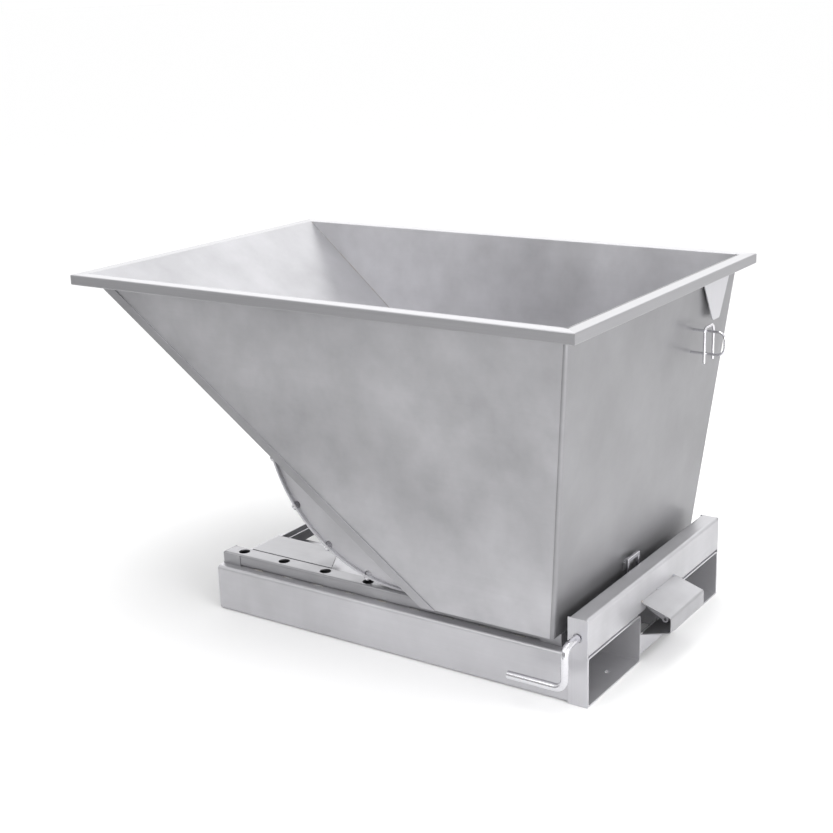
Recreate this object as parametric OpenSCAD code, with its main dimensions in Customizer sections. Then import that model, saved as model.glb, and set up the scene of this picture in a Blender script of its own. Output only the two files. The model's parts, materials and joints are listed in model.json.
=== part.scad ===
// Self-tipping skip: a sheet-steel hopper that rolls forward on toothed rockers,
// carried by a base with two fork pockets. Millimetres, +Z up, +X towards the fork entry.
// Origin: on the floor, in the middle of the whole skip's length and width.

/* [Base] */
// Width of the base over its end plates
base_w = 800; // [760:5:840]
// Length of the fork pockets
pocket_l = 1177; // [1150:1:1200]
// Outside height of a fork pocket
pocket_h = 131; // [120:1:140]
// Half the clear width between the two fork pockets
pocket_inner_y = 104; // [90:1:120]
// Sheet thickness of the base
base_t = 4; // [3:0.5:6]
// Outside bend radius of the pockets and of the rear beam
bend_r = 10; // [6:0.5:14]
// Depth of the rear beam, front to back
beam_d = 54; // [50:1:60]
// Height of the rear beam above the pockets
beam_h = 100; // [90:1:110]

/* [Rails] */
// Distance of each rail's centre line from the middle
rail_y = 340; // [335:1:345]
// Width of a rail
rail_w = 54; // [48:1:60]
// Height of a rail above the pocket
rail_h = 34; // [30:1:38]
// Rear end of the rails, measured forward from the rear face
rail_rear = 90; // [80:1:100]
// Front end of the rails, measured forward from the rear face
rail_front = 1173; // [1165:1:1176]
// Radius of the peg holes in the rails
hole_r = 16; // [15:0.5:18]

/* [Rockers] */
// Rolling radius of the rockers
roll_r = 443.5; // [440:0.5:447]
// Where the rockers touch the rails at rest, forward of the rear face
contact_x = 569; // [560:1:575]
// Pitch of the pegs along the rolling line
peg_pitch = 144.5; // [143:0.5:146]
// Number of pegs on each rocker
peg_n = 5; // [4:1:5]
// Angle of the rearmost peg, forward of the point of contact
peg_first = -3.2; // [-4:0.1:-3]
// Radius of a peg
peg_r = 10; // [8:0.5:10]
// Height of a peg above the rolling circle
peg_h = 13; // [10:0.5:14]
// Width of the curved bar that carries the pegs
band_w = 24; // [20:1:26]
// Thickness of the curved bar
band_t = 6; // [5:0.5:8]
// Angle of the rocker's upper end
rocker_end = 87; // [84:0.5:88]

/* [Hopper] */
// Height of the rim's top edge above the floor
rim_top = 965; // [940:1:990]
// Overall width over the rim
rim_w = 1060; // [1040:1:1080]
// Rim's front face, forward of the rear face of the base
rim_front_x = 1516; // [1500:1:1530]
// How far the rim stands out behind the rear face of the base
rim_rear_x = 33; // [28:1:38]
// Width of the rim tube seen from above
tube_w = 36; // [30:1:40]
// Height of the rim tube
tube_h = 28; // [25:1:32]
// Wall of the rim tube
tube_t = 2.5; // [2:0.5:3]
// Sheet thickness of the hopper
sheet_t = 3; // [2:0.5:4]
// Lean of the side and rear walls from upright
wall_lean = 6.05; // [5.5:0.05:6.5]
// Front edge of the flat floor, forward of the rear face
floor_front = 474; // [465:1:480]
// Width of the folded edge of the slope sheet on the side walls
lap_w = 27; // [20:1:32]
// Outside bend radius of the two rear corners
corner_r = 10; // [6:1:14]

/* [Latch] */
// Diameter of the release shaft and its handle
rod_d = 20; // [18:1:22]
// Distance of the handle's upright leg from the middle
handle_y = 466; // [455:1:475]
// Drop from the shaft down to the grip
handle_drop = 107; // [95:1:115]
// Reach of the grip forward of the shaft
grip_reach = 157; // [140:1:170]
// Bend radius of the handle on its centre line
handle_bend = 26; // [22:1:30]
// Sideways place of the latch bow
bow_y = -24; // [-28:1:-16]
// Outside width of the latch bow
bow_w = 70; // [60:1:76]
// Height of the latch bow's top edge
bow_top = 255; // [250:1:258]
// Depth of the hood behind the rear face
hood_d = 84; // [80:1:88]
// Half width of the hood
hood_y = 104; // [96:1:104]

/* [Hidden] */
$fn = 64;

steel = "#c9cbcc";
bright = "#d9dbdc";
dull = "#b4b7b9";

eps = 0.5;              // overshoot of every cutting tool
gap = 0.3;              // air between the hopper and the base
rear_x = (rim_front_x - hood_d) / 2;   // rear face of the base, from the origin
end_t = 3;              // beam end plates
half_w = base_w / 2;
pocket_w = half_w - end_t - pocket_inner_y;
rail_top = pocket_h + rail_h;
roll_z = rail_top + roll_r;
peg_step = peg_pitch / roll_r * 180 / PI;
floor_z = rail_top + gap;
lean = tan(wall_lean);
rim_in_y = rim_w / 2 - tube_w;
rim_in_front = rim_front_x - tube_w;
rim_in_rear = rim_rear_x - tube_w;
wall_h = rim_top - floor_z;
foot_y = rim_in_y - wall_h * lean;      // outer face of a side wall at the floor
foot_rear = rim_in_rear - wall_h * lean; // outer face of the rear wall at the floor
slope_dx = rim_in_front - floor_front;
slope_a = atan2(wall_h, slope_dx);
slope_l = sqrt(wall_h * wall_h + slope_dx * slope_dx);
wall_l = wall_h / cos(wall_lean) - sheet_t * lean;  // wall height measured along the sheet
shaft_x = -beam_d / 2;
shaft_z = pocket_h + beam_h / 2;
rod_r = rod_d / 2;
run_fit = 0.05;         // radial running clearance of the shaft

// Places its children relative to the base's rear face
module from_rear() translate([rear_x, 0, 0]) children();

// Copies its children to the far side
module far() mirror([0, 1, 0]) children();

module round_rect(w, h, r) {
  translate([r, 0]) square([w - 2 * r, h]);
  translate([0, r]) square([w, h - 2 * r]);
  for (x = [r, w - r], y = [r, h - r]) translate([x, y]) circle(r);
}

// Hollow section lying along +X, its corner at the origin, w along Y and h along Z
module section_tube(l, w, h, t, r) {
  rotate([90, 0, 90]) linear_extrude(l) difference() {
    round_rect(w, h, r);
    translate([t, t]) round_rect(w - 2 * t, h - 2 * t, max(r - t, 0.5));
  }
}

// Flat bar between two points, with round ends
module strap(a, b, w) {
  d = b - a;
  translate(a) rotate(atan2(d.y, d.x)) translate([0, -w / 2]) square([norm(d), w]);
  for (p = [a, b]) translate(p) circle(w / 2);
}

// Unit vector from one point to another
function towards(a, b) = (b - a) / norm(b - a);

// Corner b of the path a-b-c moved inwards by a distance t from both legs
function inset(a, b, c, t) = let (u = towards(b, a), v = towards(b, c))
  b + (u + v) / norm(u + v) * t / sin(acos(u * v) / 2);

// Points of an arc of radius r that rounds the corner b of the path a-b-c
function round_corner(a, b, c, r) = let (
    u = towards(b, a), v = towards(b, c),
    half = acos(u * v) / 2,
    m = inset(a, b, c, r),
    from = b + u * r / tan(half) - m,
    to = b + v * r / tan(half) - m,
    start = atan2(from.y, from.x),
    turn = (atan2(to.y, to.x) - start + 540) % 360 - 180)
  [for (i = [0 : 6]) m + r * [cos(start + turn * i / 6), sin(start + turn * i / 6)]];

// ---- base ----

drain_r = 7;            // drain hole in a pocket's floor
drain_in = 43;          // its distance from the rear face
drain_y = 207;          // its distance from the middle
rail_bend = 7;          // outside bend radius of the rails

module fork_pocket() color(steel) from_rear()
  translate([-pocket_l, -half_w + end_t, 0]) difference() {
    section_tube(pocket_l, pocket_w, pocket_h, base_t, bend_r);
    translate([pocket_l - drain_in, half_w - end_t - drain_y, -eps])
      cylinder(r = drain_r, h = base_t + 2 * eps);
  }

module rail() color(steel) from_rear()
  translate([-rail_front, -rail_y - rail_w / 2, pocket_h]) difference() {
    section_tube(rail_front - rail_rear, rail_w, rail_h, base_t, rail_bend);
    for (k = [0 : peg_n - 1])
      translate([hole_x(k), rail_w / 2, rail_h - base_t - eps]) cylinder(r = hole_r, h = base_t + 2 * eps);
  }

// Place of hole k, from the rail's front end: where peg k comes down as the rocker rolls
function hole_x(k) = rail_front - contact_x - roll_r * (peg_first + k * peg_step) * PI / 180;

rail_plate_l = 60;      // side plate at each end of a rail
rail_plate_t = 2.5;
rail_cap_t = 3;         // plate that closes the rail's end

// Side plate and closing plate at each end of a rail
module rail_ends() color(bright) from_rear() {
  for (end = [0, 1]) {
    x_cap = end == 0 ? -rail_front - rail_cap_t : -rail_rear;
    x_side = end == 0 ? -rail_front - rail_cap_t : -rail_rear + rail_cap_t - rail_plate_l;
    translate([x_cap, -rail_y - rail_w / 2, pocket_h]) cube([rail_cap_t, rail_w, rail_h]);
    translate([x_side, -rail_y - rail_w / 2 - rail_plate_t, pocket_h])
      cube([rail_plate_l, rail_plate_t, rail_h - 1]);
  }
}

channel_front = 1116;   // front face of the cross channel and of the gussets
channel_d = 34;
channel_h = rail_h - base_t;
gusset_in_y = 193;      // inner edge of a front gusset
gusset_rear_in = 896;   // rear end of that edge
gusset_rear_out = 833;  // rear end of the gusset's edge at the rail
rail_in_y = rail_y - rail_w / 2;

module front_gusset() color(bright) from_rear() translate([0, 0, rail_top - base_t])
  linear_extrude(base_t) polygon([
    [-channel_front, -rail_in_y], [-channel_front, -gusset_in_y],
    [-gusset_rear_in, -gusset_in_y], [-gusset_rear_out, -rail_in_y]
  ]);

module front_channel() color(steel) from_rear()
  translate([-channel_front, -rail_in_y, pocket_h]) difference() {
    cube([channel_d, 2 * rail_in_y, channel_h]);
    translate([base_t, -eps, base_t]) cube([channel_d - 2 * base_t, 2 * rail_in_y + 2 * eps, channel_h]);
  }

leg_w = 10;             // width of each leg of the latch bow
leg_slot = 3;           // room beside a leg in its slot
slot_low = shaft_z - 22;
slot_high = shaft_z + 20;
lever_y = -66;          // sideways place of the pull lever
lever_t = 10;           // its thickness
lever_slot_h = 32;      // height of its slot, from the beam's floor up
bush_clear = 2.5;       // air between the shaft and the near end plate

module rear_beam() color(steel) from_rear()
  translate([-beam_d, -half_w + end_t, pocket_h]) difference() {
    translate([beam_d, 0, 0]) rotate([0, 0, 90])
      section_tube(base_w - 2 * end_t, beam_d, beam_h, base_t, bend_r);
    for (side = [-1, 1])
      translate([-eps, half_w - end_t + bow_y + side * (bow_w - leg_w) / 2 - leg_w / 2 - leg_slot,
                 slot_low - pocket_h])
        cube([base_t + 2 * eps, leg_w + 2 * leg_slot, slot_high - slot_low]);
    translate([beam_d - base_t - eps, half_w - end_t + lever_y - lever_t / 2 - leg_slot, base_t])
      cube([base_t + 2 * eps, lever_t + 2 * leg_slot, lever_slot_h]);
  }

module beam_end(bored) color(bright) from_rear()
  translate([-beam_d, -half_w, 0]) difference() {
    cube([beam_d, end_t, pocket_h + beam_h]);
    if (bored) translate([beam_d + shaft_x, -eps, shaft_z]) rotate([-90, 0, 0])
      cylinder(r = rod_r + bush_clear, h = end_t + 2 * eps);
  }

hood_t = 3;
hood_bend = 9;          // outside bend radius of the hood
hood_root_z = 167;      // where the hood's top meets the beam
hood_lip_z = 139;       // top of the hood's upright face
hood_low_z = 97;        // bottom of the upright face
hood_foot_z = 75;       // where the hood's bottom meets the tie plate

// Sheet bent twice round the latch's lever, open at both sides
module latch_hood() color(bright) from_rear() translate([0, hood_y, 0]) rotate([90, 0, 0])
  linear_extrude(2 * hood_y) {
    root = [0, hood_root_z];
    lip = [hood_d, hood_lip_z];
    low = [hood_d, hood_low_z];
    foot = [0, hood_foot_z];
    inner_bend = hood_bend - hood_t;
    difference() {
      polygon(concat([root], round_corner(root, lip, low, hood_bend),
                     round_corner(lip, low, foot, hood_bend), [foot]));
      lip_in = inset(root, lip, low, hood_t);
      low_in = inset(lip, low, foot, hood_t);
      root_in = lip_in + (root - lip) * 1.05;
      foot_in = low_in + (foot - low) * 1.05;
      polygon(concat([root_in], round_corner(root_in, lip_in, low_in, inner_bend),
                     round_corner(lip_in, low_in, foot_in, inner_bend), [foot_in]));
    }
  }

tie_low = 20;           // lower edge of the tie plate between the pockets
tie_h = 60;

module rear_tie() color(steel) from_rear()
  translate([-base_t, -pocket_inner_y, tie_low]) cube([base_t, 2 * pocket_inner_y, tie_h]);

bush_w = 14;            // length of both bushes
bush_r = 15;
flange_r = 20;
flange_t = 3;

// Flanged bush that carries the shaft just inside the near end plate
module bearing_near() color(dull) from_rear()
  translate([shaft_x, -half_w + end_t, shaft_z]) rotate([-90, 0, 0]) difference() {
    union() {
      cylinder(r = flange_r, h = flange_t);
      cylinder(r = bush_r, h = bush_w);
    }
    translate([0, 0, -eps]) cylinder(r = rod_r + run_fit, h = bush_w + 2 * eps);
  }

mid_plate_y = 42;       // place of the cross plate in the beam
mid_plate_t = 5;
mid_plate_h = 60;
beam_in_d = beam_d - 2 * base_t;

// Cross plate inside the beam with the second bush
module bearing_mid() color(dull) from_rear() translate([shaft_x, mid_plate_y, shaft_z]) difference() {
  union() {
    translate([-beam_in_d / 2, 0, -mid_plate_h / 2]) cube([beam_in_d, mid_plate_t, mid_plate_h]);
    rotate([-90, 0, 0]) cylinder(r = bush_r, h = bush_w);
  }
  rotate([90, 0, 0]) cylinder(r = rod_r + run_fit, h = 4 * bush_w, center = true);
}

// ---- latch ----

spring_turns = 5;
spring_wire = 3;
spring_lead = 1.3;      // pitch of the coils, in wire diameters
spring_r = rod_r + 4.5;
spring_steps = 16;      // rings of points to a turn
spring_sides = 8;       // points to a ring
spring_y = -230;        // near end of the coil

// Point on the spring's wire: s counts the rings, k the sides of one ring
function coil_point(s, k) = let (
    a = s * 360 / spring_steps,
    b = k * 360 / spring_sides,
    r = spring_r + spring_wire / 2 * cos(b))
  [r * cos(a), s * spring_wire * spring_lead / spring_steps + spring_wire / 2 * sin(b), r * sin(a)];

module latch_spring() color(dull) from_rear() translate([shaft_x, spring_y, shaft_z]) {
  rings = spring_turns * spring_steps;
  points = [for (s = [0 : rings], k = [0 : spring_sides - 1]) coil_point(s, k)];
  skin = [for (s = [0 : rings - 1], k = [0 : spring_sides - 1]) let (k2 = (k + 1) % spring_sides)
    [s * spring_sides + k, s * spring_sides + k2, (s + 1) * spring_sides + k2, (s + 1) * spring_sides + k]];
  head = [for (k = [spring_sides - 1 : -1 : 0]) k];
  tail = [for (k = [0 : spring_sides - 1]) rings * spring_sides + k];
  polyhedron(points, concat([head], skin, [tail]), convexity = 8);
}

shaft_end_y = mid_plate_y + bush_w + 12;
press_fit = 0.02;       // radial room of the collars, the bow and the lever on the shaft

// Bent round bar: shaft through the beam, upright leg outside it, and grip
module release_handle() color(bright) from_rear() translate([shaft_x, 0, shaft_z]) {
  bend = handle_bend;
  translate([0, -handle_y + bend, 0]) rotate([-90, 0, 0])
    cylinder(r = rod_r, h = handle_y - bend + shaft_end_y);
  translate([0, -handle_y + bend, -bend]) rotate([90, 0, -90])
    rotate_extrude(angle = 90) translate([bend, 0]) circle(rod_r);
  translate([0, -handle_y, -handle_drop + bend]) cylinder(r = rod_r, h = handle_drop - 2 * bend);
  translate([-bend, -handle_y, -handle_drop + bend]) rotate([90, 0, 0]) rotate([0, 0, -90])
    rotate_extrude(angle = 90) translate([bend, 0]) circle(rod_r);
  translate([-grip_reach, -handle_y, -handle_drop]) rotate([0, 90, 0])
    cylinder(r = rod_r, h = grip_reach - bend);
}

collar_w = 10;
collar_r = 16;
collar_ys = [-half_w + end_t + bush_w + 1, mid_plate_y - collar_w - 1];

module shaft_collars() color(dull) from_rear()
  for (y = collar_ys) translate([shaft_x, y, shaft_z]) rotate([-90, 0, 0]) difference() {
    cylinder(r = collar_r, h = collar_w);
    translate([0, 0, -eps]) cylinder(r = rod_r + press_fit, h = collar_w + 2 * eps);
  }

bow_t = 8;              // thickness of the bow, front to back
bow_x = -67;            // front face of the bow
boss_r = 16;            // round end of the bow's cheeks and of the lever, on the shaft
cheek_h = 24;           // height of a cheek where it leaves the shaft
cheek_low = shaft_z - 14;
bar_h = 10;             // height of the cross bar

// Two cheeks on the shaft that reach out of the beam and turn up to a cross bar
module latch_bow() color(bright) from_rear() difference() {
  union() {
    for (side = [-1, 1]) translate([0, bow_y + side * (bow_w - leg_w) / 2 + leg_w / 2, 0])
      rotate([90, 0, 0]) linear_extrude(leg_w) {
        translate([shaft_x, shaft_z]) circle(boss_r);
        translate([bow_x, cheek_low]) square([shaft_x - bow_x, cheek_h]);
        translate([bow_x, cheek_low]) square([bow_t, bow_top - cheek_low]);
      }
    translate([bow_x, bow_y - bow_w / 2, bow_top - bar_h]) cube([bow_t, bow_w, bar_h]);
  }
  translate([shaft_x, bow_y, shaft_z]) rotate([90, 0, 0])
    cylinder(r = rod_r + press_fit, h = bow_w + 2 * eps, center = true);
}

lever_w = 12;           // width of the lever's arm
elbow = [-10, 152];     // where the arm turns, inside the beam
eye = [52, 117];        // eye for the pull cord, inside the hood
eye_r = 4;
eye_rim = 5;            // metal left round the eye

// Arm on the shaft that reaches back into the hood for the pull cord
module pull_lever() color(bright) from_rear()
  translate([0, lever_y + lever_t / 2, 0]) rotate([90, 0, 0]) linear_extrude(lever_t) difference() {
    union() {
      translate([shaft_x, shaft_z]) circle(boss_r);
      strap([shaft_x, shaft_z], elbow, lever_w);
      strap(elbow, eye, lever_w);
      translate(eye) circle(eye_r + eye_rim);
    }
    translate([shaft_x, shaft_z]) circle(rod_r + press_fit);
    translate(eye) circle(eye_r);
  }

// ---- hopper ----

// Height of the slope's outer face at a distance x forward of the rear face
function slope_z(x) = floor_z + (x - floor_front) * wall_h / slope_dx;

corner_edge = corner_r / cos(wall_lean) + 0.1;  // where a wall stops for its corner bend
slope_in = sheet_t / sin(slope_a);      // the slope sheet's thickness, measured along the floor
lap_gap = 2;            // air between the folded edge and the rim tube
lap_top = (wall_h - tube_h - lap_gap) / cos(wall_lean);
lap_x = lap_w / sin(slope_a);

// Puts a flat sheet on the near wall's plane: x along the wall, y up it, outer face at z = 0
module on_near_wall() translate([0, -foot_y, floor_z]) rotate([90 + wall_lean, 0, 0]) children();

// Distance along a wall at a height v up it, on the line of the slope's outer face
function slope_edge(v) = -floor_front - v * cos(wall_lean) * slope_dx / wall_h;

module side_wall() color(steel) from_rear() on_near_wall() translate([0, 0, -sheet_t])
  linear_extrude(sheet_t) polygon([
    [slope_edge(0) + slope_in, 0], [foot_rear - corner_edge, 0],
    [rim_in_rear - corner_edge, wall_l], [slope_edge(wall_l) + slope_in, wall_l]
  ]);

// Strip along the slope's edge, folded over the outside of a side wall; long enough at
// the front to be cut off flush with the slope's outer face
module slope_lap() on_near_wall() linear_extrude(sheet_t) polygon([
  [slope_edge(0) - lap_x, 0], [slope_edge(0) + lap_x, 0],
  [slope_edge(lap_top) + lap_x, lap_top], [slope_edge(lap_top) - lap_x, lap_top]
]);

// Puts its children on the slope's outer face: x up the slope, z into the hopper
module on_slope() translate([-floor_front, 0, floor_z]) rotate([0, slope_a - 180, 0])
  mirror([0, 0, 1]) children();

// Sloping front sheet with its two folded edges, cut level at the rim
module front_slope() color(steel) from_rear() difference() {
  union() {
    on_slope() translate([0, 0, -eps]) linear_extrude(sheet_t + eps) polygon([
      [0, -foot_y - sheet_t / 2], [slope_l, -rim_in_y - sheet_t / 2],
      [slope_l, rim_in_y + sheet_t / 2], [0, foot_y + sheet_t / 2]
    ]);
    slope_lap();
    far() slope_lap();
  }
  on_slope() translate([-tube_h, -rim_w, -2 * lap_w]) cube([slope_l + 2 * tube_h, 2 * rim_w, 2 * lap_w]);
  translate([-rim_front_x - eps, -rim_w, rim_top]) cube([rim_front_x, 2 * rim_w, tube_h]);
  for (side = [-1, 1])
    translate([-rim_front_x - eps, side * (rim_in_y + tube_w) - tube_w, rim_top - tube_h - gap])
      cube([rim_front_x, 2 * tube_w, 2 * tube_h]);
}

floor_start = -floor_front + sheet_t * sin(slope_a);
floor_end = foot_rear - sheet_t;
floor_y = foot_y - sheet_t;

module hopper_floor() color(steel) from_rear() translate([0, 0, floor_z]) linear_extrude(sheet_t)
  polygon([
    [floor_start, -floor_y], [floor_end - corner_r, -floor_y], [floor_end, -floor_y + corner_r],
    [floor_end, floor_y - corner_r], [floor_end - corner_r, floor_y], [floor_start, floor_y]
  ]);

// Quarter-round bend between a side wall and the rear wall, on the near side
module corner_bend() intersection() {
  translate([foot_rear, -foot_y, floor_z]) rotate([atan2(lean, sqrt(1 + lean * lean)), wall_lean, 0])
    translate([-corner_r, corner_r, -corner_r]) linear_extrude(wall_l + 2 * corner_r) intersection() {
      difference() {
        circle(corner_r);
        circle(corner_r - sheet_t);
      }
      translate([0, -corner_r]) square([corner_r, corner_r]);
    }
  translate([-rim_front_x, -rim_w, floor_z]) cube([rim_front_x + rim_rear_x, rim_w, wall_h]);
}

// Puts its children on the rear wall's outer face: x across the skip, y up the wall, z outwards
module on_rear_wall() from_rear() translate([foot_rear, 0, floor_z]) rotate([90, 0, 90])
  rotate([wall_lean, 0, 0]) children();

module rear_wall() color(steel) on_rear_wall() translate([0, 0, -sheet_t])
  linear_extrude(sheet_t) polygon([
    [-foot_y + corner_edge, 0], [foot_y - corner_edge, 0],
    [rim_in_y - corner_edge, wall_l], [-rim_in_y + corner_edge, wall_l]
  ]);

module rear_corner() color(steel) from_rear() corner_bend();

tube_bend = 3;          // outside corner radius of the rim tube

// Length of rim tube along +X with mitred ends, outer face at y = 0
module mitred_tube(l) difference() {
  section_tube(l, tube_w, tube_h, tube_t, tube_bend);
  for (end = [0, l]) translate([end, 0, -eps]) rotate([0, 0, 45])
    cube([2 * tube_w, 2 * tube_w, tube_h + 2 * eps]);
}

rim_l = rim_front_x + rim_rear_x;
rim_z = rim_top - tube_h;

module rim_side() color(bright) from_rear()
  translate([-rim_front_x, -rim_w / 2, rim_z]) mitred_tube(rim_l);

module rim_rear() color(bright) from_rear()
  translate([rim_rear_x, -rim_w / 2, rim_z]) rotate([0, 0, 90]) mitred_tube(rim_w);

module rim_front() color(bright) from_rear()
  translate([-rim_front_x, rim_w / 2, rim_z]) rotate([0, 0, -90]) mitred_tube(rim_w);

// ---- rockers ----

band_out_r = roll_r - gap;
band_in_r = band_out_r - band_t;
band_rear = -5.5;       // rear end of the curved bar, just behind the contact line
plate_t = 6;            // thickness of the rocker plates
fine = 180;             // facets of the rolling circle

// Puts the rolling centre at the origin and the rocker's plane in XY, angle 0 pointing down
module at_roll_centre() from_rear() translate([-contact_x, -rail_y, roll_z]) rotate([90, 0, 0]) children();

// A direction at an angle forward of straight down
function arc_dir(a) = [-sin(a), -cos(a)];

module rocker_plate() color(steel) at_roll_centre() translate([0, 0, -plate_t / 2])
  linear_extrude(plate_t) difference() {
    intersection() {
      circle(band_in_r, $fn = fine);
      polygon([
        [contact_x - floor_front, floor_z - roll_z],
        [contact_x - rim_in_front, slope_z(rim_in_front) - roll_z],
        [-2 * roll_r, -2 * roll_r], [contact_x - floor_front, -2 * roll_r]
      ]);
    }
    for (k = [1 : peg_n - 1]) translate(arc_dir(peg_first + k * peg_step) * (band_in_r)) circle(peg_r + 1);
  }

module rocker_band() color(bright) at_roll_centre() difference() {
  rotate([0, 0, -90 - rocker_end]) translate([0, 0, -band_w / 2])
    rotate_extrude(angle = rocker_end - band_rear, $fn = fine)
      translate([band_in_r, 0]) square([band_t, band_w]);
  for (k = [0 : peg_n - 1]) rotate([0, 0, -(peg_first + k * peg_step)]) translate([0, -band_in_r + 1, 0])
    rotate([90, 0, 0]) cylinder(r = peg_r + run_fit, h = band_t + 2);
}

peg_tip = 4;            // height of a peg's cone
peg_tip_r = 6;

module rocker_pegs() color(bright) at_roll_centre()
  for (k = [0 : peg_n - 1]) rotate([0, 0, -(peg_first + k * peg_step)])
    translate([0, -band_in_r, 0]) rotate([90, 0, 0]) {
      cylinder(r = peg_r, h = band_t + peg_h - peg_tip);
      translate([0, 0, band_t + peg_h - peg_tip]) cylinder(r1 = peg_r, r2 = peg_tip_r, h = peg_tip, $fn = 48);
    }

// ---- fittings on the rear wall ----

plate_y = 338;          // middle of the plate under the rear rim
plate_top_w = 183;
plate_low_w = 44;
plate_h = 120;
hang_t = 4;             // its thickness
hang_x = -4;            // its front face; it hangs plumb, so the wall falls away from it
hang_corner = 12;       // radius of its lower corners

// Tapered plate that hangs from the rear rim
module rim_gusset() color(steel) from_rear()
  translate([hang_x, plate_y, rim_z - plate_h]) rotate([90, 0, 90]) linear_extrude(hang_t) {
    top_l = [-plate_top_w / 2, plate_h];
    low_l = [-plate_low_w / 2, 0];
    low_r = [plate_low_w / 2, 0];
    top_r = [plate_top_w / 2, plate_h];
    polygon(concat([top_l], round_corner(top_l, low_l, low_r, hang_corner),
                   round_corner(low_l, low_r, top_r, hang_corner), [top_r]));
  }

wire_r = 3.5;           // radius of the cleat's wire
loop_y = 232;           // sideways place of the loop that stands out from the wall
loop_low = 747;         // height of the loop's lower arm
loop_high = 808;        // height of its upper arm
loop_out = 95;          // how far it stands out from the wall
loop_bend = 20;         // bend radius of the loop at its outer corners
staple_out = 38;        // distance of the staple from the wall
staple_w = 58;          // width of the staple, across the skip
staple_top = 816;
staple_low = 722;
staple_bend = 12;

// Round wire along a length of +X
module wire(l) rotate([0, 90, 0]) cylinder(r = wire_r, h = l);

// Quarter bend of wire in the XY plane, from heading +X at the origin to heading +Y
module wire_bend(r) translate([0, r, 0]) rotate([0, 0, -90])
  rotate_extrude(angle = 90) translate([r, 0]) circle(wire_r);

// Distance of the rear wall's outer face from the base's rear face, at a height
function wall_x(z) = foot_rear + (z - floor_z) * lean;

// Wire loop standing out from the wall, with a staple of the same wire across its arms
module rope_cleat() color(bright) from_rear() {
  mid_z = (loop_low + loop_high) / 2;
  half_h = (loop_high - loop_low) / 2;
  tip_x = wall_x(mid_z) + loop_out - wire_r;
  translate([tip_x - loop_bend, loop_y, mid_z]) rotate([90, 0, 0]) for (side = [0, 1]) mirror([0, side, 0]) {
    arm_l = tip_x - loop_bend - wall_x((side == 0 ? loop_low : loop_high) + wire_r);
    translate([-arm_l, -half_h, 0]) wire(arm_l);
    translate([0, -half_h, 0]) wire_bend(loop_bend);
    translate([loop_bend, -half_h + loop_bend, 0]) rotate([0, 0, 90]) wire(half_h - loop_bend + eps);
  }
  translate([wall_x(mid_z) + staple_out, loop_y - 2 * wire_r + eps, staple_top]) rotate([0, 90, 0])
    rotate([0, 0, 90]) {
      leg = staple_top - staple_low - staple_bend;
      for (side = [0, 1]) translate([side * staple_w, 0, 0]) mirror([side, 0, 0]) {
        translate([0, -staple_bend - leg, 0]) rotate([0, 0, 90]) wire(leg);
        translate([0, -staple_bend, 0]) rotate([0, 0, 90]) mirror([0, 1, 0]) wire_bend(staple_bend);
        translate([staple_bend, 0, 0]) wire(staple_w / 2 - staple_bend + eps);
      }
    }
}

nose_w = 40;
nose_out = 11;          // how far the nose stands out from the wall
nose_drop = 17;         // the nose's top below the open bow's top edge
nose_h = 26;
nose_edge = 6;          // height of the nose's blunt tip
nose_top = bow_top - nose_drop - floor_z;

// Wedge on the hopper that the closed bow holds down
module latch_nose() color(steel) on_rear_wall()
  translate([bow_y - nose_w / 2, 0, 0]) rotate([90, 0, 90]) linear_extrude(nose_w) polygon([
    [nose_top - nose_h, 0], [nose_top, 0], [nose_top, nose_out], [nose_top - nose_edge, nose_out]
  ]);

slug_l = 20;
slug_w = 12;
slug_h = 8;

// Hidden slugs in the rails that carry the roll's sliding half
module roll_carrier() color(dull) from_rear()
  for (side = [-1, 1])
    translate([-contact_x - slug_l / 2, side * rail_y - slug_w / 2, pocket_h + base_t + 1])
      cube([slug_l, slug_w, slug_h]);

fork_pocket();  // fork_pocket_near
far() fork_pocket();  // fork_pocket_far
rail();  // rail_near
far() rail();  // rail_far
rail_ends();  // rail_ends_near
far() rail_ends();  // rail_ends_far
front_gusset();  // front_gusset_near
far() front_gusset();  // front_gusset_far
front_channel();
rear_beam();
beam_end(true);  // beam_end_near
far() beam_end(false);  // beam_end_far
latch_hood();
rear_tie();
bearing_near();
bearing_mid();
latch_spring();
roll_carrier();
release_handle();
shaft_collars();
latch_bow();
pull_lever();
side_wall();  // side_wall_near
far() side_wall();  // side_wall_far
front_slope();
hopper_floor();
rear_wall();
rear_corner();  // rear_corner_near
far() rear_corner();  // rear_corner_far
rim_front();
rim_rear();
rim_side();  // rim_near
far() rim_side();  // rim_far
rocker_plate();  // rocker_plate_near
far() rocker_plate();  // rocker_plate_far
rocker_band();  // rocker_band_near
far() rocker_band();  // rocker_band_far
rocker_pegs();  // rocker_pegs_near
far() rocker_pegs();  // rocker_pegs_far
rim_gusset();
rope_cleat();
latch_nose();
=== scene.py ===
import json
import math

import bpy
from mathutils import Matrix, Vector


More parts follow.
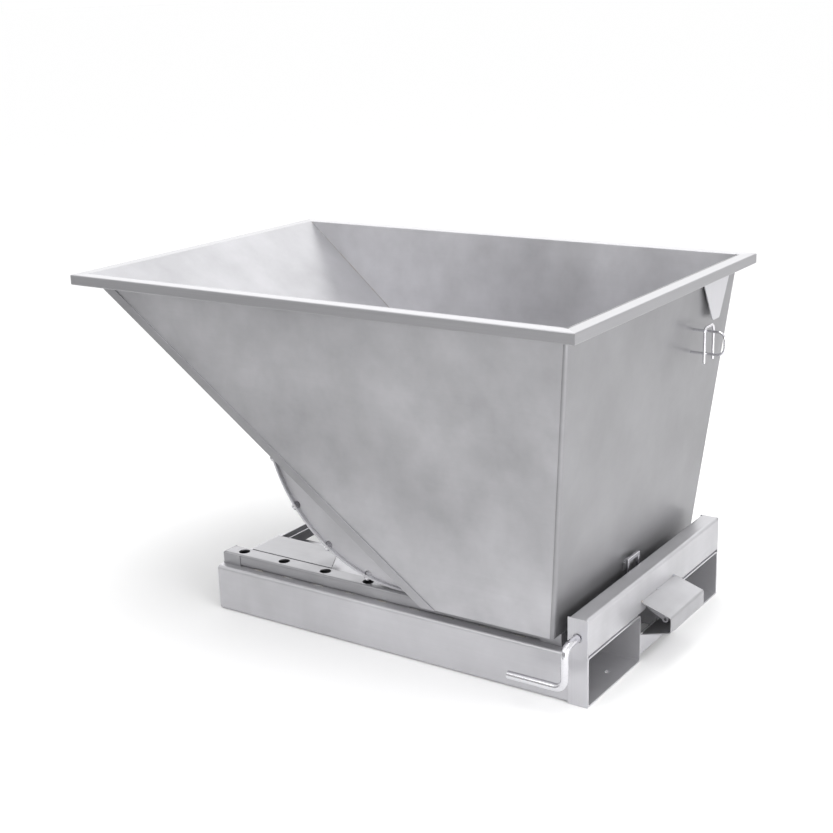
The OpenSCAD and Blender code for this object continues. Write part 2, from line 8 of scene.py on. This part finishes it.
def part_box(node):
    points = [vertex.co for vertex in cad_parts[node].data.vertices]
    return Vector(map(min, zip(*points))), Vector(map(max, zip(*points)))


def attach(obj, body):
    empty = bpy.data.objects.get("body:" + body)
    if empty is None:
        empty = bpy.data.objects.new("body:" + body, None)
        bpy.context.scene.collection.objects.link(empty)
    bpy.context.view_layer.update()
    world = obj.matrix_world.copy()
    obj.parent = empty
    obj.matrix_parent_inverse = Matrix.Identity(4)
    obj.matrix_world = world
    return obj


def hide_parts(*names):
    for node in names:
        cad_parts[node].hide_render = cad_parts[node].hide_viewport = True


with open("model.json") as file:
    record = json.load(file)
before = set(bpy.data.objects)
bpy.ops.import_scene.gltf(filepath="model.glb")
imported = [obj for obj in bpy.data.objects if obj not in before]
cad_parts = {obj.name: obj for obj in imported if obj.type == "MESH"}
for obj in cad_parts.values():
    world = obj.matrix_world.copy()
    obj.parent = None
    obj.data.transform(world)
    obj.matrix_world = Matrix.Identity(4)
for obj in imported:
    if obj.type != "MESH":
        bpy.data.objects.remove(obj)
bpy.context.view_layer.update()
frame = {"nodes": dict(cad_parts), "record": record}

MM = 0.001
BODY_OF = {node: body for body, nodes in frame["record"]["behaviour"]["bodies"].items() for node in nodes}
SLOT_OF = {row["node"]: row["material_slot"] for row in frame["record"]["subparts"]}
JOINTS = {joint["name"]: joint for joint in frame["record"]["behaviour"]["joints"]}


# ---- finishes ----

class Wire:
    """An output socket of a shader node. Arithmetic on it adds Math nodes."""

    def __init__(self, tree, socket):
        self.tree = tree
        self.socket = socket

    def math(self, operation, first, second):
        return self.tree.node("ShaderNodeMath", {"operation": operation}, {0: first, 1: second})

    def __add__(self, other):
        return self.math("ADD", self, other)

    def __radd__(self, other):
        return self.math("ADD", other, self)

    def __sub__(self, other):
        return self.math("SUBTRACT", self, other)

    def __rsub__(self, other):
        return self.math("SUBTRACT", other, self)

    def __mul__(self, other):
        return self.math("MULTIPLY", self, other)

    def __rmul__(self, other):
        return self.math("MULTIPLY", other, self)


class Tree:
    """The nodes of a material or of the world, under construction."""

    def __init__(self, owner, shader):
        owner.use_nodes = True
        self.nodes = owner.node_tree.nodes
        self.links = owner.node_tree.links
        self.shader = self.nodes[shader]

    def node(self, kind, settings, inputs, output=0):
        """Adds a node: its settings first, then the value or link of each socket."""
        made = self.nodes.new(kind)
        for name, value in settings.items():
            if name == "stops":
                self.set_stops(made.color_ramp, value)
            else:
                setattr(made, name, value)
        for name, value in inputs.items():
            if isinstance(value, Wire):
                self.links.new(value.socket, made.inputs[name])
            else:
                made.inputs[name].default_value = value
        return Wire(self, made.outputs[output])

    def set_stops(self, ramp, stops):
        """Gives a ramp its stops: pairs of a place and a grey."""
        while len(ramp.elements) < len(stops):
            ramp.elements.new(0.5)
        for element, (place, grey) in zip(ramp.elements, stops):
            element.position = place
            element.color = (grey, grey, grey, 1)

    def feed(self, name, value):
        """Sets a socket of the shader to a value or a link."""
        if isinstance(value, Wire):
            self.links.new(value.socket, self.shader.inputs[name])
        else:
            self.shader.inputs[name].default_value = value


class Finish(Tree):
    """A material under construction."""

    def __init__(self, name):
        self.material = bpy.data.materials.new(name)
        super().__init__(self.material, "Principled BSDF")
        self.place = self.node("ShaderNodeTexCoord", {}, {}, "Object")

    def noise(self, scale, detail=3.0, rough=0.5, stretch=(1, 1, 1), offset=0.0):
        """Soft noise; stretch is how fast it changes along X, Y and Z."""
        place = self.node("ShaderNodeMapping", {}, {
            "Vector": self.place, "Location": (offset, offset, offset), "Scale": stretch})
        return self.node("ShaderNodeTexNoise", {}, {
            "Vector": place, "Scale": scale, "Detail": detail, "Roughness": rough})

    def ramp(self, value, stops):
        """Turns a value into a grey."""
        return self.node("ShaderNodeValToRGB", {"stops": stops}, {"Fac": value})

    def mix(self, share, first, second):
        """Blends two colours."""
        return self.node("ShaderNodeMix", {"data_type": "RGBA"}, {0: share, 6: first, 7: second}, 2)

    def bump(self, height, distance):
        """A normal that follows a height, which a distance scales to metres."""
        return self.node("ShaderNodeBump", {}, {"Distance": distance, "Height": height})


def steel_tone(shade, cool=1.0):
    """The faintly blue grey of stainless steel at a brightness."""
    return (shade, shade * (1 - 0.006 * cool), shade * (1 + 0.035 * cool), 1)


# The third value of each finish is its middle roughness. Sheets and tubes stay above 0.28 throughout,
# and bars below 0.26. Surfaces whose roughness crossed the values between came out with ragged patches.

def rolled_sheet(name, shade, rough, hair, cloud, metal, marks=1.0):
    """Cold-rolled sheet: slow clouds in tone and gloss, hair lines, handling marks, a slow ripple."""
    finish = Finish(name)
    slow = finish.noise(1.9, 3, 0.5)
    cloudy = finish.noise(5.5, 4, 0.62, offset=3.1)
    lines = finish.noise(1.0, 2, 0.5, hair)
    smear = finish.noise(8.0, 2, 0.5, (1, 1, 0.5), offset=7.7)
    tone = (slow * 0.5 + cloudy * 0.5 - 0.5) * cloud + 0.5
    grey = finish.mix(tone, steel_tone(shade * 0.7), steel_tone(shade * 1.28))
    hand = finish.ramp(smear, [(0.5, 0.0), (0.72, 1.0)])
    grey = finish.mix(hand * (0.22 * marks), grey, steel_tone(shade * 0.72, 0.3))
    grey = finish.mix(lines * (0.14 * marks), grey, steel_tone(shade * 0.6))
    finish.feed("Base Color", grey)
    finish.feed("Metallic", metal)
    wear = hand * (0.06 * marks) + (lines - 0.5) * (0.04 * marks)
    finish.feed("Roughness", (tone - 0.5) * 0.11 + wear + rough)
    ripple = finish.noise(2.4, 1, 0.4, offset=1.3)
    height = ripple + lines * (0.0015 * marks)
    finish.feed("Normal", finish.bump(height, 4 * MM))
    return finish.material


def ground_tube(name, shade, rough, hair, metal):
    """Tube ground with a belt: fine lines along it, plainer than the sheet."""
    finish = Finish(name)
    slow = finish.noise(3.0, 2, 0.5)
    lines = finish.noise(1.0, 3, 0.6, hair)
    grey = finish.mix(lines * 0.6 + slow * 0.4, steel_tone(shade * 0.84), steel_tone(shade * 1.1))
    finish.feed("Base Color", grey)
    finish.feed("Metallic", metal)
    finish.feed("Roughness", (lines - 0.5) * 0.08 + (slow - 0.5) * 0.06 + rough)
    finish.feed("Normal", finish.bump(slow * 0.5 + lines * 0.004, 2 * MM))
    return finish.material


def bright_bar(name):
    """Drawn bar: bright, with long draw lines."""
    finish = Finish(name)
    slow = finish.noise(20.0, 2, 0.5)
    lines = finish.noise(1.0, 2, 0.5, (6, 260, 260))
    finish.feed("Base Color", finish.mix(slow * 0.5 + lines * 0.5, steel_tone(0.56), steel_tone(0.8)))
    finish.feed("Metallic", 1.0)
    finish.feed("Roughness", (slow - 0.5) * 0.1 + 0.19)
    finish.feed("Normal", finish.bump(lines, 0.04 * MM))
    return finish.material


def weld_metal(name):
    """Weld bead: dull, with straw and blue heat tints that come and go along it."""
    finish = Finish(name)
    warm = finish.noise(38.0, 3, 0.6)
    speck = finish.noise(400.0, 2, 0.5)
    straw = finish.ramp(warm, [(0.45, 0.0), (0.7, 1.0)])
    blue = finish.ramp(warm, [(0.3, 1.0), (0.42, 0.0)])
    tint = finish.mix(straw, (0.42, 0.42, 0.43, 1), (0.36, 0.31, 0.25, 1))
    tint = finish.mix(blue, tint, (0.30, 0.33, 0.40, 1))
    finish.feed("Base Color", finish.mix(speck * 0.5, tint, (0.2, 0.2, 0.2, 1)))
    finish.feed("Metallic", 0.9)
    finish.feed("Roughness", speck * 0.2 + 0.34)
    finish.feed("Normal", finish.bump(speck, 0.15 * MM))
    return finish.material


# How fast hair lines change along X, Y and Z, for lines that run along one of them.
HAIR_X = (1.5, 240, 240)
HAIR_Y = (240, 1.5, 240)
HAIR_Z = (240, 240, 1.5)

sheet_along = rolled_sheet("hopper_sheet", 0.45, 0.39, HAIR_X, 2.2, 0.74, 0.6)
# Painted shade: the rear wall and its rounded corners are the hopper's own sheet with a darker tone, set to
# how dark they fall in the light; the corners take it to dull their highlight. The hair lines across Y are
# the sheet's real grain.
sheet_across_painted_shade = rolled_sheet("rear_wall_sheet_painted_shade", 0.25, 0.36, HAIR_Y, 1.6, 0.7, 0.25)
base_sheet = rolled_sheet("base_sheet", 0.52, 0.39, HAIR_X, 1.2, 0.66)
# Painted shade: the rails, their end blocks and the front gussets are the base's own sheet with a darker
# tone, to dull their brightly lit tops.
rail_sheet_painted_shade = rolled_sheet("rail_sheet_painted_shade", 0.34, 0.38, HAIR_X, 1.4, 0.8)
# Painted shade: the front slope is the hopper's own sheet with a darker tone, to match how bright its inside
# falls in the light.
slope_sheet_painted_shade = rolled_sheet("slope_sheet_painted_shade", 0.39, 0.36, HAIR_X, 1.6, 0.78, 0.6)
# Painted light: the far wall is the hopper's own sheet made lighter than the near wall, to lift its inside
# face, which falls in shade.
far_sheet_painted_light = rolled_sheet("far_wall_sheet_painted_light", 0.54, 0.38, HAIR_X, 2.0, 0.74, 0.6)
beam_sheet = rolled_sheet("beam_sheet", 0.42, 0.38, HAIR_Y, 1.4, 0.5)
# Painted shade: the latch hood's sheet has a darker tone, to dull its brightly lit top and face.
hood_sheet_painted_shade = rolled_sheet("hood_sheet_painted_shade", 0.36, 0.38, HAIR_Y, 1.2, 0.75)
tube_along = ground_tube("rim_tube_side", 0.38, 0.35, HAIR_X, 0.72)
# Painted shade: the front and rear rim tubes are the rim's own tube with a darker tone than the side tubes,
# to match how they fall in the light. Their grinding lines across Y are real.
tube_across_painted_shade = ground_tube("rim_tube_end_painted_shade", 0.33, 0.35, HAIR_Y, 0.8)
plate = ground_tube("cut_plate", 0.58, 0.42, HAIR_Z, 0.85)
bar = bright_bar("bright_bar")
bead_metal = weld_metal("weld_bead")

FINISH_OF_SLOT = {
    "hopper_sheet": sheet_along, "base_sheet": base_sheet, "rim_tube": tube_along,
    "bright_bar": bar, "cut_plate": plate, "spring_steel": bar}
# Some nodes take a darker or lighter copy of their slot's finish. This is painted shade on the rear wall and
# corners, the front slope, the rails, the latch hood and the front and rear rim tubes, and painted light on
# the far wall.
FINISH_OF_NODE = {
    "rear_wall": sheet_across_painted_shade, "rear_corner_near": sheet_across_painted_shade, "rear_corner_far": sheet_across_painted_shade,
    "front_slope": slope_sheet_painted_shade, "side_wall_far": far_sheet_painted_light, "rear_beam": beam_sheet, "latch_hood": hood_sheet_painted_shade,
    "rim_front": tube_across_painted_shade, "rim_rear": tube_across_painted_shade, "rim_gusset": plate,
    "rail_near": rail_sheet_painted_shade, "rail_far": rail_sheet_painted_shade, "latch_bow": bar,
    "rail_ends_near": rail_sheet_painted_shade, "rail_ends_far": rail_sheet_painted_shade,
    "front_gusset_near": rail_sheet_painted_shade, "front_gusset_far": rail_sheet_painted_shade,
    "rocker_plate_near": base_sheet, "rocker_plate_far": base_sheet}


# ---- making ----

def alone(piece):
    """Makes a piece the only one selected, and the active one."""
    bpy.ops.object.select_all(action="DESELECT")
    piece.select_set(True)
    bpy.context.view_layer.objects.active = piece


def dress(piece, finish):
    piece.data.materials.clear()
    piece.data.materials.append(finish)


def apply_modifier(piece, kind, **settings):
    modifier = piece.modifiers.new(kind.lower(), kind)
    for name, value in settings.items():
        setattr(modifier, name, value)
    bpy.ops.object.modifier_apply(modifier=modifier.name)


def smooth(piece, angle=35):
    """Smooth shading across small angles, with the large faces kept flat."""
    alone(piece)
    bpy.ops.object.shade_smooth_by_angle(angle=math.radians(angle))
    apply_modifier(piece, "WEIGHTED_NORMAL", keep_sharp=True)


def refine(node, edge):
    """Stands a copy of a CAD piece in its place, with its edges rounded to a radius in mm."""
    piece = bpy.data.objects.new(node + "_shell", frame["nodes"][node].data.copy())
    bpy.context.scene.collection.objects.link(piece)
    alone(piece)
    bpy.ops.object.mode_set(mode="EDIT")
    bpy.ops.mesh.select_all(action="SELECT")
    bpy.ops.mesh.remove_doubles(threshold=0.02 * MM)
    bpy.ops.mesh.dissolve_limited(angle_limit=math.radians(0.5))
    bpy.ops.object.mode_set(mode="OBJECT")
    apply_modifier(piece, "BEVEL", width=edge * MM, segments=2, limit_method="ANGLE",
                   angle_limit=math.radians(40), use_clamp_overlap=True)
    smooth(piece)
    settle(piece, node)
    return piece


def settle(piece, node):
    """Gives a piece the finish and body of the CAD piece that it stands for, and hides the CAD piece."""
    dress(piece, FINISH_OF_NODE.get(node, FINISH_OF_SLOT[SLOT_OF[node]]))
    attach(piece, BODY_OF[node])
    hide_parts(node)


def beads(name, runs, radius, body):
    """Weld beads along straight runs: rows of tilted, overlapping ripples, joined into one piece."""
    pitch = 0.62 * radius
    made = []
    for start, end in runs:
        along = end - start
        bpy.ops.mesh.primitive_uv_sphere_add(segments=8, ring_count=5, radius=radius)
        bead = bpy.context.object
        bpy.ops.object.mode_set(mode="EDIT")
        bpy.ops.transform.resize(value=(0.5, 1, 1))
        bpy.ops.transform.rotate(value=math.radians(35), orient_axis="Y", center_override=(0, 0, 0))
        bpy.ops.object.mode_set(mode="OBJECT")
        apply_modifier(bead, "ARRAY", use_relative_offset=False, use_constant_offset=True,
                       constant_offset_displace=(pitch, 0, 0), count=max(2, round(along.length / pitch)))
        bead.rotation_euler = along.to_track_quat("X", "Z").to_euler()
        bead.location = start
        bpy.ops.object.transform_apply(location=True, rotation=True, scale=True)
        made.append(bead)
    bpy.ops.object.select_all(action="DESELECT")
    for bead in made:
        bead.select_set(True)
    bpy.context.view_layer.objects.active = made[0]
    bpy.ops.object.join()
    seam = bpy.context.object
    seam.name = name
    bpy.ops.object.shade_smooth()
    dress(seam, bead_metal)
    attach(seam, body)
    return seam


def stitches(start, end, count, length):
    """Short runs of weld, evenly spaced along a line."""
    along = (end - start).normalized()
    step = (end - start) / count
    middles = [start + step * (k + 0.5) for k in range(count)]
    return [(m - along * length / 2, m + along * length / 2) for m in middles]


def mirrored(runs):
    """Runs and their mirror images on the far side."""
    flip = Vector((1, -1, 1))
    return runs + [(a * flip, b * flip) for a, b in runs]


# ---- places ----

pocket_low, pocket_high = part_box("fork_pocket_near")
rail_low, rail_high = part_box("rail_near")
beam_low, beam_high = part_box("rear_beam")
wall_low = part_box("side_wall_near")[0]
slope_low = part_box("front_slope")[0]
floor_low, floor_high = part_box("hopper_floor")
back_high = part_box("rear_wall")[1]
rim_low, rim_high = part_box("rim_near")
hood_low, hood_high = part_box("latch_hood")
rear_face = beam_high.x
shaft = Vector(JOINTS["latch_release"]["pos_m"])


# ---- release handle ----

HANDLE_BEND = 26 * MM


def draw_out(offset):
    """Draws the selected end face out by an offset."""
    bpy.ops.mesh.extrude_region_move(TRANSFORM_OT_translate={"value": offset})


def bend(centre, axis, turn):
    """Sweeps the selected end face round a bend; the spin turns against the right-hand rule."""
    bpy.ops.mesh.spin(steps=12, angle=-math.radians(turn), center=centre, axis=axis)


def make_handle():
    """One bent bar: the shaft in the beam, an upright leg outside it, and the grip."""
    low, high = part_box("release_handle")
    radius = high.z - shaft.z
    leg_y = low.y + radius
    grip_z = low.z + radius
    r = HANDLE_BEND
    bpy.ops.object.select_all(action="DESELECT")
    bpy.ops.mesh.primitive_circle_add(vertices=40, radius=radius, fill_type="NGON",
                                      location=(shaft.x, high.y, shaft.z), rotation=(math.pi / 2, 0, 0))
    handle = bpy.context.object
    handle.name = "release_handle_bar"
    bpy.ops.object.transform_apply(location=True, rotation=True, scale=True)
    bpy.ops.object.mode_set(mode="EDIT")
    draw_out((0, leg_y + r - high.y, 0))
    bend((shaft.x, leg_y + r, shaft.z - r), (1, 0, 0), 90)
    draw_out((0, 0, grip_z + 2 * r - shaft.z))
    bend((shaft.x - r, leg_y, grip_z + r), (0, 1, 0), 90)
    draw_out((low.x - (shaft.x - r), 0, 0))
    bpy.ops.mesh.select_all(action="SELECT")
    bpy.ops.mesh.normals_make_consistent(inside=False)
    bpy.ops.object.mode_set(mode="OBJECT")
    alone(handle)
    apply_modifier(handle, "BEVEL", width=1.5 * MM, segments=2, limit_method="ANGLE",
                   angle_limit=math.radians(60))
    smooth(handle)
    settle(handle, "release_handle")


# ---- pieces ----

EDGE_MM = {
    "fork_pocket_near": 0.9, "fork_pocket_far": 0.9, "rail_near": 0.8, "rail_far": 0.8,
    "rail_ends_near": 0.7, "rail_ends_far": 0.7, "front_gusset_near": 0.9, "front_gusset_far": 0.9,
    "front_channel": 0.9, "rear_beam": 0.9, "beam_end_near": 0.8, "beam_end_far": 0.8,
    "latch_hood": 0.8, "rear_tie": 0.8, "latch_bow": 2.2, "pull_lever": 1.5,
    "side_wall_near": 0.8, "side_wall_far": 0.8, "front_slope": 0.9, "hopper_floor": 0.6,
    "rear_wall": 0.8, "rear_corner_near": 0.5, "rear_corner_far": 0.5,
    "rim_front": 0.5, "rim_rear": 0.5, "rim_near": 0.5, "rim_far": 0.5,
    "rocker_plate_near": 0.9, "rocker_plate_far": 0.9, "rocker_band_near": 1.2, "rocker_band_far": 1.2,
    "rocker_pegs_near": 0.8, "rocker_pegs_far": 0.8, "rim_gusset": 0.9, "rope_cleat": 0.3,
    "latch_nose": 1.0}

for node, edge in EDGE_MM.items():
    refine(node, edge)

for node in ("bearing_near", "bearing_mid", "latch_spring", "roll_carrier", "shaft_collars"):
    dress(frame["nodes"][node], bar if node == "latch_spring" else plate)

make_handle()


# ---- welds ----

def hopper_seams():
    """Beads inside the hopper, where slope, floor and walls meet."""
    sheet = floor_high.z - floor_low.z
    foot = Vector((floor_low.x, floor_low.y, floor_high.z))
    lip = Vector((slope_low.x + 2 * sheet, wall_low.y + sheet, rim_high.z - 2 * MM))
    heel = Vector((floor_high.x - 12 * MM, floor_low.y, floor_high.z))
    runs = mirrored([(foot, lip), (foot, heel)])
    runs.append((foot, foot * Vector((1, -1, 1))))
    runs.append((heel + Vector((10, 14, 0)) * MM, heel * Vector((1, -1, 1)) + Vector((10, -14, 0)) * MM))
    beads("hopper_seams", runs, 2.6 * MM, "hopper")


def rim_stitches():
    """Stitch welds under the rim tube."""
    under = rim_low.z - 0.5 * MM
    side_y = wall_low.y + 2.2 * MM
    side = stitches(Vector((slope_low.x + 60 * MM, side_y, under)),
                    Vector((back_high.x - 30 * MM, side_y, under)), 8, 45 * MM)
    back_x = back_high.x - 2.2 * MM
    back = stitches(Vector((back_x, wall_low.y + 40 * MM, under)),
                    Vector((back_x, -wall_low.y - 40 * MM, under)), 6, 40 * MM)
    beads("rim_stitches", mirrored(side) + back, 2.2 * MM, "hopper")


def rocker_welds():
    """Stitch welds between the rocker plates and the slope."""
    low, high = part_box("rocker_plate_near")
    top = Vector((low.x + 8 * MM, high.y, high.z - 4 * MM))
    foot = Vector((floor_low.x - 10 * MM, high.y, floor_low.z + 6 * MM))
    runs = stitches(foot, top, 5, 45 * MM)
    outer = Vector((0, low.y - high.y, 0))
    runs += [(a + outer, b + outer) for a, b in runs]
    beads("rocker_welds", mirrored(runs), 2.6 * MM, "hopper")


def rail_welds():
    """Stitches along both feet of the rails, and the fat bead at each front corner."""
    foot_z = pocket_high.z + 0.6 * MM
    runs = []
    for y in (rail_low.y, rail_high.y):
        runs += stitches(Vector((rail_low.x + 70 * MM, y, foot_z)),
                         Vector((rail_high.x - 60 * MM, y, foot_z)), 9, 32 * MM)
    front = rail_low.x - 4 * MM
    runs.append((Vector((front, rail_low.y, foot_z)), Vector((front, rail_high.y, foot_z))))
    beads("rail_welds", mirrored(runs), 2.2 * MM, "base")


def beam_welds():
    """Seams along the end plates' front edges, and stitches at the beam's front foot."""
    plate_x = beam_low.x
    side_y = pocket_low.y - 0.3 * MM
    runs = [(Vector((plate_x, side_y, 4 * MM)), Vector((plate_x, side_y, pocket_high.z - 6 * MM)))]
    runs += stitches(Vector((beam_low.x, side_y + 15 * MM, pocket_high.z)),
                     Vector((beam_low.x, pocket_high.y, pocket_high.z)), 4, 26 * MM)
    beads("beam_welds", mirrored(runs), 1.7 * MM, "base")


def pocket_seams():
    """Beads along the pockets' two inside bottom corners."""
    tie_low, tie_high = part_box("rear_tie")
    sheet = tie_high.x - tie_low.x
    runs = []
    for y in (pocket_low.y + sheet, pocket_high.y - sheet):
        runs.append((Vector((rear_face - 420 * MM, y, sheet)), Vector((rear_face - 3 * MM, y, sheet))))
    beads("pocket_seams", mirrored(runs), 1.6 * MM, "base")


def hood_tacks():
    """Tack welds along the hood's two roots."""
    top = Vector((rear_face + 1 * MM, 0, hood_high.z))
    low = Vector((rear_face + 1 * MM, 0, hood_low.z + 4 * MM))
    runs = []
    for y in (-98 * MM, -6 * MM, 96 * MM):
        for root in (top, low):
            middle = root + Vector((0, y, 0))
            runs.append((middle - Vector((0, 5, 0)) * MM, middle + Vector((0, 5, 0)) * MM))
    beads("hood_tacks", runs, 3.0 * MM, "base")


hopper_seams()
rim_stitches()
rocker_welds()
rail_welds()
beam_welds()
pocket_seams()
hood_tacks()


# ---- studio ----

CAMERA_TURN = math.radians(34.34)
CAMERA_RISE = math.radians(16.56)
CAMERA_ROLL = math.radians(-1.81)
CAMERA_PLACE = Vector((rear_face + 1.4392, -3.2008, 1.6816))
LENS_MM = 61.94
SENSOR_MM = 36
FLOOR_SIZE = 600
SIGHT = 1000


def make_camera():
    """The camera, behind the handle's side and above the rim."""
    data = bpy.data.cameras.new("camera")
    data.lens = LENS_MM
    data.sensor_width = SENSOR_MM
    data.clip_end = SIGHT
    camera = bpy.data.objects.new("camera", data)
    bpy.context.scene.collection.objects.link(camera)
    camera.matrix_world = (
        Matrix.Translation(CAMERA_PLACE)
        @ Matrix.Rotation(CAMERA_TURN, 4, "Z")
        @ Matrix.Rotation(math.pi / 2 - CAMERA_RISE, 4, "X")
        @ Matrix.Rotation(CAMERA_ROLL, 4, "Z"))
    bpy.context.scene.camera = camera


def studio_plane(name, size, place, turn=(0, 0, 0)):
    """A flat rectangle of the studio, its place in the mesh, with a dull finish to complete."""
    bpy.ops.object.select_all(action="DESELECT")
    bpy.ops.mesh.primitive_plane_add(size=1, location=place, rotation=turn)
    plane = bpy.context.object
    plane.name = name
    plane.scale = (size[0], size[1], 1)
    bpy.ops.object.transform_apply(location=True, rotation=True, scale=True)
    finish = Finish(name)
    finish.feed("Specular IOR Level", 0.0)
    dress(plane, finish.material)
    return plane, finish


def make_floor():
    """A wide pale floor, just clear of the base's underside."""
    finish = studio_plane("studio_floor", (FLOOR_SIZE, FLOOR_SIZE), (0, 0, -0.5 * MM))[1]
    finish.feed("Base Color", (0.92, 0.92, 0.92, 1))
    finish.feed("Roughness", 0.95)


def make_world(low, high):
    """Pale surroundings, brighter overhead than at eye level."""
    world = bpy.data.worlds.new("studio")
    tree = Tree(world, "Background")
    way = tree.node("ShaderNodeTexCoord", {}, {}, "Generated")
    rise = tree.node("ShaderNodeSeparateXYZ", {}, {0: way}, "Z")
    strength = tree.node("ShaderNodeMapRange", {}, {
        "Value": rise, "From Min": 0.0, "From Max": 0.7, "To Min": low, "To Max": high})
    tree.feed("Strength", strength)
    tree.feed("Color", (1, 1, 1, 1))
    bpy.context.scene.world = world


def softbox(name, place, aim, size, power, seen_only=False):
    """A rectangular light. One that is seen only shows in reflections and lights no matt surface."""
    data = bpy.data.lights.new(name, "AREA")
    data.shape = "RECTANGLE"
    data.size, data.size_y = size
    data.energy = power
    lamp = bpy.data.objects.new(name, data)
    bpy.context.scene.collection.objects.link(lamp)
    lamp.location = place
    lamp.rotation_euler = (Vector(aim) - Vector(place)).to_track_quat("-Z", "Y").to_euler()
    lamp.visible_camera = False
    lamp.visible_diffuse = not seen_only


def flag(name, size, place, grey, turn=(0, 0, 0)):
    """A grey card that only reflections see, so that the polished faces do not mirror white alone."""
    card, finish = studio_plane(name, size, place, turn)
    finish.feed("Base Color", (0, 0, 0, 1))
    finish.feed("Emission Color", (grey, grey, grey, 1))
    finish.feed("Emission Strength", 1.0)
    card.visible_camera = False
    card.visible_diffuse = False
    card.visible_shadow = False


def make_lights():
    """Soft boxes at the far side, the handle's side, above and low behind the base, and three cards."""
    softbox("back_box", (-2.0, 5.5, 4.0), (0, 0, 0.6), (10.0, 5.0), 190, seen_only=True)
    softbox("front_box", (0.2, -3.6, 3.6), (0, 0, 0.8), (3.6, 2.2), 60, seen_only=True)
    softbox("top_box", (0.3, 0.3, 4.6), (0, 0, 0.4), (3.2, 3.2), 90)
    softbox("low_box", (3.6, -1.4, 1.0), (0.7, 0, 0.1), (2.6, 1.2), 80)
    upright = (math.pi / 2, 0, 0)
    flag("near_flag", (7, 1.4), (-1.2, -2.2, 0.72), 0.46, upright)
    flag("left_flag", (4, 3), (-3.3, -2.7, 2 * MM), 0.6)
    flag("foot_flag", (2.4, 0.5), (-0.5, -1.15, 3 * MM), 0.4)


make_camera()
make_floor()
make_world(1.0, 1.1)
make_lights()
bpy.context.scene.view_settings.view_transform = "Standard"
